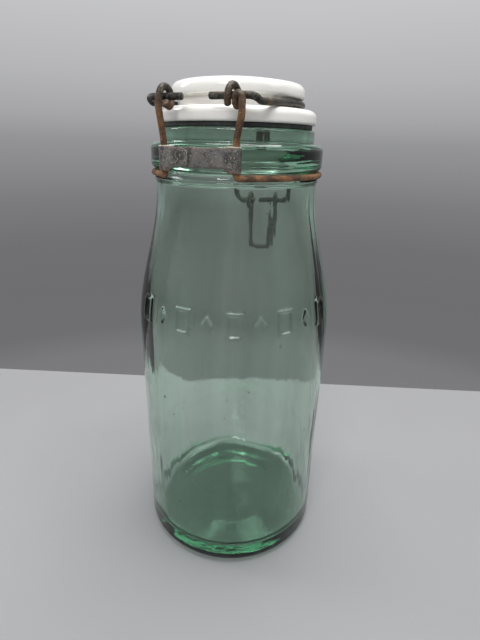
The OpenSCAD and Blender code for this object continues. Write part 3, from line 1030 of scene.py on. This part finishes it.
@dataclass
class CollarWire:
    """One wire: round the neck, kinked out for the latch, up through the plate and coiled into two eyes."""

    plan: Plan
    ring_r: float = 40.25 * MM
    kink_half: float = 4.5 * MM
    pivot_x: float = 19.5 * MM
    upright_x: float = 16.2 * MM
    upright_y: float = 41.25 * MM
    bend_r: float = 1.6 * MM
    barrel_top: float = 224.35 * MM
    eye_r: float = 3.6 * MM
    eye_pitch: float = 3.1 * MM
    left_x: float = 16.4 * MM
    right_x: float = 19.5 * MM
    double_back: float = 3.0 * MM

    def run(self) -> list[Vector]:
        """The wire from the middle of the latch side to the foot of one upright."""
        r, z = self.ring_r, self.plan.pivot.z
        out_x, in_x = self.pivot_x + self.kink_half, self.pivot_x - self.kink_half
        foot_out, foot_in = out_x + 1.6 * MM, in_x - 1.0 * MM
        a_out, a_in = -math.degrees(math.acos(foot_out / r)), -math.degrees(math.acos(foot_in / r))
        path = level_arc(r, z, -90, a_in - 6, 8)
        path += bent(
            [
                level_arc(r, z, a_in - 6, a_in - 6, 1)[0], Vector((foot_in, r * math.sin(math.radians(a_in)), z)),
                Vector((in_x, self.plan.pivot.y, z)), Vector((out_x, self.plan.pivot.y, z)),
                Vector((foot_out, r * math.sin(math.radians(a_out)), z)), level_arc(r, z, a_out + 8, a_out + 8, 1)[0],
            ],
            [0, 1.5 * MM, 2 * MM, 2 * MM, 2 * MM, 0],
        )
        return path + level_arc(r, z, a_out + 14, self.touch(), 60)

    def touch(self) -> float:
        """Angle at which the wire leaves its circle for the foot of an upright, in degrees."""
        reach = math.hypot(self.upright_x, self.upright_y)
        return math.degrees(math.atan2(self.upright_y, self.upright_x) - math.acos(self.ring_r / reach))

    def upright(self, corners: Sequence[Vector], radii: Sequence[float]) -> list[Vector]:
        """One upright, then on through more corners.

        Args:
            corners: The corners over the straight part.
            radii: Their bends.

        Returns:
            The route.
        """
        z = self.plan.pivot.z
        start = level_arc(self.ring_r, z, self.touch(), self.touch(), 1)[0]
        foot = Vector((self.upright_x, self.upright_y, z))
        top = Vector((self.upright_x, self.upright_y, self.barrel_top))
        return bent([start, foot, top, *corners], [0, self.bend_r, 8 * MM, *radii])

    def left(self) -> list[Vector]:
        """The left half, whose eye leaves its upright upward and is not quite a whole turn."""
        y, z, x = self.plan.hinge.y, self.plan.hinge.z, self.left_x
        front = y + self.eye_r
        rise = [Vector((x, front, z - self.eye_r * 0.9)), Vector((x - 0.8 * MM, front, z + self.eye_r * 0.2))]
        eye = coil(y, z, self.eye_r, x - 0.9 * MM, x - self.eye_pitch, 28, 322, 80)
        return self.run() + self.upright(rise, [4 * MM, 0]) + eye

    def right(self) -> list[Vector]:
        """The right half, which doubles back over its upright's top and winds downward into its eye."""
        y, z, x = self.plan.hinge.y, self.plan.hinge.z, self.right_x
        front, inner, start, end = y + self.eye_r, x - self.double_back, -18.0, -415.0
        low = z + self.eye_r * math.sin(math.radians(start))
        top, bend = low + self.double_back / 2 + 0.05 * MM, self.double_back / 2 - 0.05 * MM
        rise = [
            Vector((x, front, z - 6.5 * MM)), Vector((x, front, top)),
            Vector((inner, front, top)), Vector((inner, front - 0.1 * MM, low)),
        ]
        path = self.run() + self.upright(rise, [6 * MM, bend, bend, 0])
        return path + coil(y, z, self.eye_r, inner, inner - self.eye_pitch * (start - end) / 360, start - 12, end, 110)

    def build(self, finish: Wire) -> bpy.types.Object:
        """Make the wire and give it its rust."""
        path = other_side(self.right()) + self.left()[1:]
        wire = wire_piece("collar_wire_rusty", path, self.plan.wire_d, 11.0, 0.08 * MM)
        dress(wire, finish.material())
        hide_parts("collar_wire")
        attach(wire, "jar")
        return wire


@dataclass
class Latch:
    """Two arms that hang from the collar wire and the finger bail on their pins."""

    plan: Plan
    pivot_x: float = 19.5 * MM
    gap: float = 0.5 * MM
    foot_x: float = 18.0 * MM
    bail_x: float = 8.0 * MM
    bail_end: float = 5.9 * MM
    bail_len: float = 29.5 * MM
    bail_lean: float = 0.39 * MM
    left_pin: float = 4.7 * MM
    right_pin: float = -0.9 * MM

    def eye(self, x: float, axis: Vector, radius: float) -> list[Vector]:
        """An eye of three quarters of a turn that leaves downward at the back."""
        return coil(axis.y, axis.z, radius, x, x, -90, 180, 36)

    def arm(self, pin_end: float) -> list[Vector]:
        """The route of one arm.

        Args:
            pin_end: Where its pin ends, from the middle.

        Returns:
            The route, on the +X side.
        """
        pivot, pin = self.plan.pivot, self.plan.pin
        reach = self.plan.wire_d / 2 + self.gap + self.plan.latch_d / 2
        length = pivot.z - pin.z
        path = self.eye(self.pivot_x, pivot, reach)
        return path + bent(
            [
                Vector((self.pivot_x, pivot.y - reach, pivot.z - 1 * MM)),
                Vector((self.pivot_x + 0.3 * MM, pivot.y - reach, pivot.z - length * 0.4)),
                Vector((self.foot_x, pin.y, pin.z)), Vector((pin_end, pin.y, pin.z)),
            ],
            [0, 6 * MM, 5 * MM, 0],
        )

    def bail(self) -> list[Vector]:
        """The route of the finger bail, from eye to eye."""
        pin = self.plan.pin
        reach = self.plan.latch_d + self.gap
        away = pin.y - reach - self.bail_lean
        low = pin.z - self.bail_len
        shank = Vector((self.bail_x, pin.y - reach, pin.z - 1 * MM))
        leg = bent([shank, Vector((self.bail_end, away, low)), Vector((0, away, low))], [0, 3 * MM, 0])
        half = self.eye(self.bail_x, pin, reach) + leg
        return half + other_side(half)[1:]

    def build(self, finish: Wire) -> list[bpy.types.Object]:
        """Make the arms and the bail and give them their metal.

        Args:
            finish: The dark wire.

        Returns:
            The three pieces.
        """
        metal = finish.material()
        right = [Vector((-p.x, p.y, p.z)) for p in self.arm(self.right_pin)]
        made = []
        for name, path, node, body in (
            ("arm_left_wire", self.arm(self.left_pin), "latch_arm_left", "latch_arms"),
            ("arm_right_wire", right, "latch_arm_right", "latch_arms"),
            ("bail_loop_wire", self.bail(), "finger_bail", "bail"),
        ):
            wire = wire_piece(name, path, self.plan.latch_d, 20.0 + 5 * len(made), 0.06 * MM)
            dress(wire, metal)
            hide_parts(node)
            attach(wire, body)
            made.append(wire)
        return made


# ---------------------------------------------------------------- hinge plate


@dataclass
class HingePlate:
    """One strip of sheet rolled round both uprights, with a long lap at one end."""

    plan: Plan
    upright_x: float = 16.2 * MM
    upright_y: float = 41.25 * MM
    roll_r: float = 1.9 * MM
    sheet: float = 0.8 * MM
    flat_y: float = 42.3 * MM
    low: float = 211.95 * MM
    high: float = 222.35 * MM
    cut: float = 1.8 * MM
    long_lap: float = 12.0 * MM
    short_lap: float = 2.0 * MM

    def half_line(self, lap: float) -> list[Vector]:
        """Middle line of half the strip, seen from above, from its middle to the end of its lap."""
        x, y, r = self.upright_x, self.upright_y, self.roll_r
        flat = [Vector((0, self.flat_y, 0)), Vector((x - r, self.flat_y, 0)), Vector((x - r, y, 0))]
        path = bent(flat, [0, self.sheet, 0])
        turns = [math.radians(180 + 270 * i / 30) for i in range(1, 31)]
        path += [Vector((x + r * math.cos(a), y + r * math.sin(a), 0)) for a in turns]
        return path + [Vector((x - lap, y + r, 0))]

    def strip(self) -> list[Vector]:
        """Middle line of the whole strip, walked in even steps."""
        left, right = self.half_line(self.long_lap), self.half_line(self.short_lap)
        return even(other_side(right) + left[1:], 0.35 * MM)

    def rim(self, at: Vector, end: float) -> tuple[float, float]:
        """Low and high edge of the strip at a place along it.

        Args:
            at: The place on the middle line.
            end: Distance from the lap's end.

        Returns:
            The two heights.
        """
        inside = smooth_step(13.6 * MM, 11.2 * MM, abs(at.x))
        low = self.low + self.cut * inside + 0.2 * MM * noise.noise(at * 240.0)
        high = self.high - 0.5 * MM * inside - 0.25 * MM * (1 + noise.noise(at * 190.0 + Vector((3, 0, 0))))
        corner = 1.6 * MM * smooth_step(3.0 * MM, 0.0, end)
        return max(self.low, low + corner * 0.6), min(self.high, high - corner)

    def build(self, finish: ZincSheet) -> bpy.types.Object:
        """Make the plate as one closed sheet with real thickness.

        Args:
            finish: The zinc.

        Returns:
            The plate.
        """
        line = self.strip()
        count, rows = len(line), 14
        verts: list[Vector] = []
        for i, at in enumerate(line):
            along = (line[min(i + 1, count - 1)] - line[max(i - 1, 0)]).normalized()
            across = Vector((-along.y, along.x, 0))
            end = (count - 1 - i) * 0.35 * MM
            low, high = self.rim(at, end)
            for side in (0.5, -0.5):
                for k in range(rows):
                    t = k / (rows - 1)
                    edge = 1 - 0.35 * smooth_step(0.12, 0.0, min(t, 1 - t))
                    spot = at + Vector((0, 0, low + (high - low) * t))
                    dent = 0.10 * MM * noise.noise(spot * 160.0) * smooth_step(15 * MM, 11 * MM, abs(at.x))
                    verts.append(spot + across * (self.sheet * side * edge + dent))
        faces: list[list[int]] = []
        ring = 2 * rows

        def index(i: int, side: int, k: int) -> int:
            """Number of one point of the sheet."""
            return i * ring + side * rows + k

        for i in range(count - 1):
            for side in (0, 1):
                for k in range(rows - 1):
                    low_edge = [index(i, side, k), index(i + 1, side, k)]
                    faces.append([*low_edge, index(i + 1, side, k + 1), index(i, side, k + 1)])
            for k in (0, rows - 1):
                faces.append([index(i, 0, k), index(i, 1, k), index(i + 1, 1, k), index(i + 1, 0, k)])
        for i in (0, count - 1):
            for k in range(rows - 1):
                faces.append([index(i, 0, k), index(i, 0, k + 1), index(i, 1, k + 1), index(i, 1, k)])
        plate = new_piece("plate_sheet", verts, faces)
        dress(plate, finish.material())
        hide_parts("hinge_plate")
        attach(plate, "jar")
        return plate


# ---------------------------------------------------------------- studio


@dataclass
class Studio:
    """Pale sheet, soft light and camera."""

    azimuth: float = 202.0
    distance: float = 220.8 * MM
    eye_height: float = 222.7 * MM
    pitch: float = 22.67
    roll: float = 1.04
    turn: float = 0.81
    lens: float = 23.53
    skew: float = -3.5
    sheet_end: float = 0.1525

    def camera(self) -> bpy.types.Object:
        """Place the camera a hand's breadth off, level with the neck and looking down.

        Returns:
            The camera.
        """
        a, p, y = (math.radians(v) for v in (self.azimuth, self.pitch, self.turn))
        away = Vector((math.sin(a), -math.cos(a), 0))
        right = Vector((math.cos(a), math.sin(a), 0))
        ahead = -away * math.cos(p) - Vector((0, 0, math.sin(p)))
        look = (ahead * math.cos(y) + right * math.sin(y)).normalized()
        side = (right - look * right.dot(look)).normalized()
        up = side.cross(look)
        frame = Matrix((side, up, -look)).transposed().to_4x4()
        data = bpy.data.cameras.new("studio_camera")
        data.lens, data.sensor_width = self.lens, 36.0
        data.clip_start, data.clip_end = 0.005, 20.0
        camera = bpy.data.objects.new("studio_camera", data)
        place = Matrix.Translation(away * self.distance + Vector((0, 0, self.eye_height)))
        camera.matrix_world = place @ frame @ Matrix.Rotation(math.radians(self.roll), 4, "Z")
        bpy.context.scene.collection.objects.link(camera)
        bpy.context.scene.camera = camera
        return camera

    def lamp(self, name: str, place: Vector, target: Vector, size: tuple[float, float], power: float) -> None:
        """Hang one soft rectangular light.

        Args:
            name: The light's name.
            place: Where it hangs.
            target: What it points at.
            size: Its width and height.
            power: Its output in watts.
        """
        data = bpy.data.lights.new(name, "AREA")
        data.shape = "RECTANGLE"
        data.size, data.size_y = size
        data.energy = power
        light = bpy.data.objects.new(name, data)
        light.location = place
        light.rotation_mode = "QUATERNION"
        light.rotation_quaternion = (target - place).to_track_quat("-Z", "Y")
        bpy.context.scene.collection.objects.link(light)

    def floor(self, finish: "PaleSheet") -> None:
        """Lay the pale sheet that the jar stands on.

        Args:
            finish: The sheet's paper.
        """
        corners = ((-3.0, -3.0), (3.0, -3.0), (3.0, self.sheet_end), (-3.0, self.sheet_end))
        mesh = bpy.data.meshes.new("sheet")
        mesh.from_pydata([(*corner, -0.00002) for corner in corners], [], [(0, 1, 2, 3)])
        mesh.transform(Matrix.Rotation(math.radians(self.azimuth + self.skew), 4, "Z"))
        sheet = bpy.data.objects.new("sheet", mesh)
        bpy.context.scene.collection.objects.link(sheet)
        dress(sheet, finish.material())

    def sky(self) -> None:
        """Fill the room with soft grey: dark low down, lighter from the horizon up, an even ceiling."""
        world = bpy.data.worlds.new("studio")
        world.use_nodes = True
        tree = world.node_tree
        place = tree.nodes.new("ShaderNodeTexCoord")
        split = tree.nodes.new("ShaderNodeSeparateXYZ")
        half = tree.nodes.new("ShaderNodeMath")
        half.operation = "MULTIPLY_ADD"
        half.inputs[1].default_value = half.inputs[2].default_value = 0.5
        ramp = tree.nodes.new("ShaderNodeValToRGB")
        ramp.color_ramp.interpolation = "LINEAR"
        stops = (
            (-1.0, 0.15), (-0.50, 0.20), (-0.44, 0.195), (-0.39, 0.16), (-0.30, 0.156), (-0.20, 0.165), (-0.115, 0.20),
            (0.005, 0.295), (0.05, 0.375), (0.125, 0.46), (0.25, 0.56), (0.40, 0.48), (0.70, 0.36), (1.0, 0.34),
        )
        while len(ramp.color_ramp.elements) < len(stops):
            ramp.color_ramp.elements.new(0.5)
        for element, (rise, grey) in zip(ramp.color_ramp.elements, stops):
            element.position, element.color = (rise + 1) / 2, (grey, grey, grey * 1.03, 1.0)
        tree.links.new(place.outputs["Generated"], split.inputs[0])
        tree.links.new(split.outputs["Z"], half.inputs[0])
        tree.links.new(half.outputs[0], ramp.inputs["Fac"])
        tree.links.new(ramp.outputs["Color"], tree.nodes["Background"].inputs["Color"])
        bpy.context.scene.world = world

    def build(self) -> None:
        """Set up the camera, the floor and the lights."""
        self.camera()
        self.floor(PaleSheet())
        self.sky()
        middle = Vector((0, 0, 0.13))
        self.lamp("top_soft", Vector((-0.10, -0.10, 1.1)), middle, (0.8, 0.8), 12.5)
        self.lamp("side_right", Vector((-0.75, 0.05, 0.60)), middle, (0.25, 0.5), 0.5)
        self.lamp("side_left", Vector((0.65, 0.10, 0.55)), middle, (0.2, 0.4), 1.4)
        self.lamp("front_soft", Vector((-0.10, 0.95, 0.85)), middle, (0.5, 0.3), 5.0)
        bpy.context.scene.view_settings.view_transform = "Standard"


# ---------------------------------------------------------------- main


def main() -> None:
    """Build the canister in order and report each piece."""
    logging.basicConfig(level=logging.INFO, format="%(message)s")
    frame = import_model()
    plan = Plan(frame["joints"])
    Studio().build()
    plate_low, plate_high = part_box("hinge_plate")
    pieces = [
        GlassJar(plan).build(GreenGlass()),
        Lid(plan).build(OpalGlass(groove_z=plan.hinge.z)),
        SealingRing().build(ShadeDarkRubber()),
        LidWire(plan).build(Wire(Metal.TARNISHED)),
        CollarWire(plan).build(Wire(Metal.RUSTED)),
        HingePlate(plan).build(ZincSheet(plate_low[2], plate_high[2])),
        *Latch(plan).build(Wire(Metal.TARNISHED)),
    ]
    for piece in pieces:
        LOG.info("%s: %d faces", piece.name, len(piece.data.polygons))


if __name__ == "__main__":
    main()
